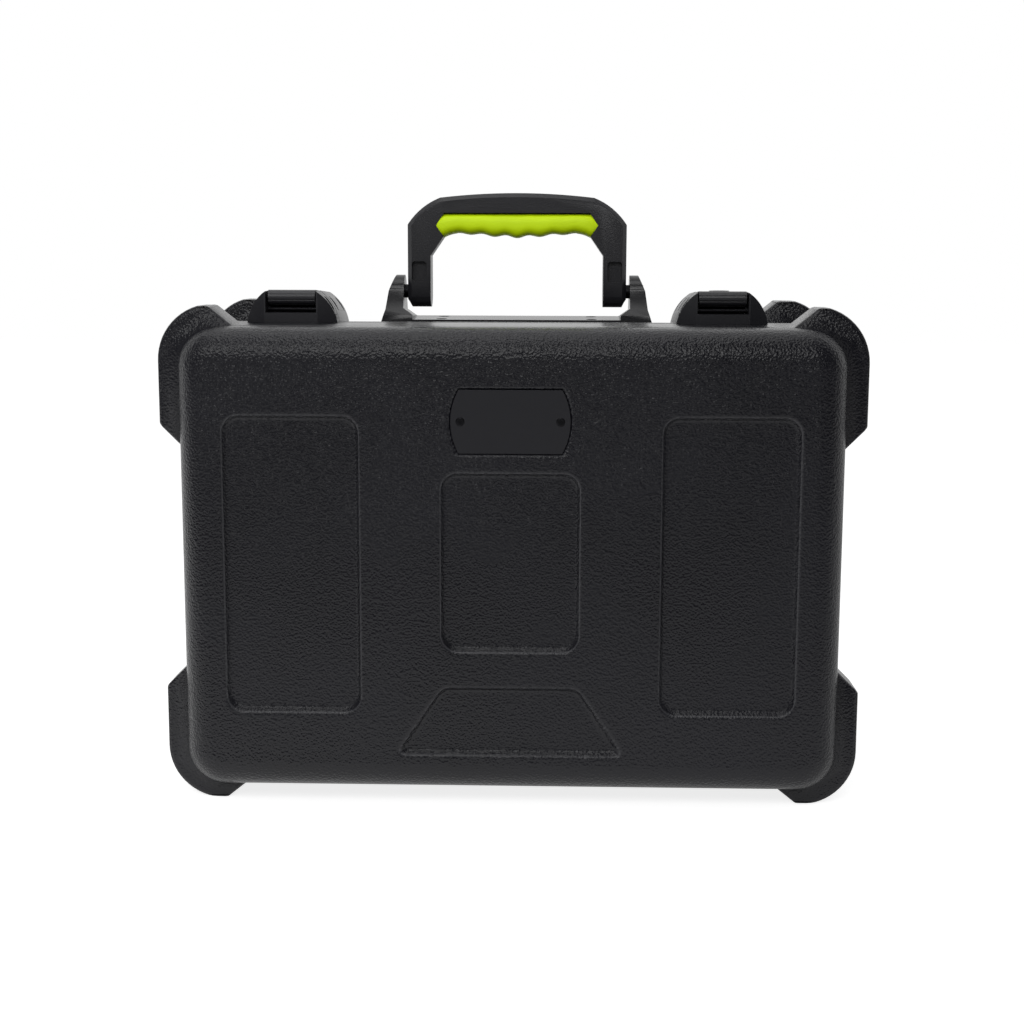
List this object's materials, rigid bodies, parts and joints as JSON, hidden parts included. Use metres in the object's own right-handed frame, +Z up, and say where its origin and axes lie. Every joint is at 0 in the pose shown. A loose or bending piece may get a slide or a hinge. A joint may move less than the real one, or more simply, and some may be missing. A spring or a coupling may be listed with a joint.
{
  "type": "microphone case",
  "caption": "Moulded hard case with a hinged lid, lever latches, corner bumpers, a swinging carrying handle and foam drops for handheld microphones.",
  "frame": {"origin": "centre of the overall box at the floor that the bottom corner bumpers stand on", "axes": "+X across the case to the right seen from the lid, -Y out of the lid's face, +Z up towards the handle"},
  "size_m": [0.476, 0.24, 0.419],
  "materials": {
    "shell_plastic": "fine pebble grain, semi-gloss",
    "latch_plastic": "fine grain, semi-gloss",
    "handle_plastic": "fine grain, semi-gloss",
    "grip_rubber": "smooth satin",
    "foam": "open-cell foam",
    "plate_metal": "satin, anodised look",
    "dark_steel": "black oxide",
    "bright_steel": "drawn",
    "lock_metal": "turned face",
    "pivot_steel": "black",
    "hinge_metal": "black, satin",
    "rivet_metal": "satin"
  },
  "bodies": {
    "base": {"base_shell": "shell_plastic", "base_foam": "foam", "latch_housing_left": "latch_plastic", "latch_housing_right": "latch_plastic", "housing_screws": "dark_steel", "lever_pin_left": "bright_steel", "lever_pin_right": "bright_steel", "handle_bracket": "handle_plastic", "bracket_screws": "dark_steel", "handle_pins": "pivot_steel", "hinge_base_leaf_left": "hinge_metal", "hinge_base_leaf_right": "hinge_metal", "hinge_pin_left": "bright_steel", "hinge_pin_right": "bright_steel", "base_rivets": "rivet_metal"},
    "lid": {"lid_shell": "shell_plastic", "lid_foam": "foam", "name_plate": "plate_metal", "plate_screws": "dark_steel", "keeper_left": "latch_plastic", "keeper_right": "latch_plastic", "keeper_bar_left": "bright_steel", "keeper_bar_right": "bright_steel", "keeper_screws": "dark_steel", "hinge_lid_leaf_left": "hinge_metal", "hinge_lid_leaf_right": "hinge_metal", "lid_rivets": "rivet_metal"},
    "lever_left": {"latch_lever_left": "latch_plastic"},
    "lever_right": {"latch_lever_right": "latch_plastic"},
    "lock_left": {"lock_plug_left": "lock_metal"},
    "lock_right": {"lock_plug_right": "lock_metal"},
    "handle": {"handle_frame": "handle_plastic", "handle_grip": "grip_rubber"}
  },
  "joints": [
    {"name": "lid_hinge", "type": "hinge", "parent": "base", "child": "lid", "pos_m": [0, -0.04, 0.007], "axis": [1, 0, 0], "range_deg": [0, 105]},
    {"name": "lever_pivot_left", "type": "hinge", "parent": "base", "child": "lever_left", "pos_m": [-0.1532, -0.00347, 0.33942], "axis": [-1, 0, 0], "range_deg": [0, 75]},
    {"name": "lever_pivot_right", "type": "hinge", "parent": "base", "child": "lever_right", "pos_m": [0.1434, -0.00347, 0.33942], "axis": [-1, 0, 0], "range_deg": [0, 75]},
    {"name": "lock_turn_left", "type": "hinge", "parent": "lever_left", "child": "lock_left", "pos_m": [-0.1532, -0.02514, 0.34737], "axis": [0, 0.0436, 0.999], "range_deg": [0, 90]},
    {"name": "lock_turn_right", "type": "hinge", "parent": "lever_right", "child": "lock_right", "pos_m": [0.1434, -0.02514, 0.34737], "axis": [0, 0.0436, 0.999], "range_deg": [0, 90]},
    {"name": "handle_pivot", "type": "hinge", "parent": "base", "child": "handle", "pos_m": [0, 0.04093, 0.34749], "axis": [1, 0, 0], "range_deg": [-90, 90]}
  ]
}
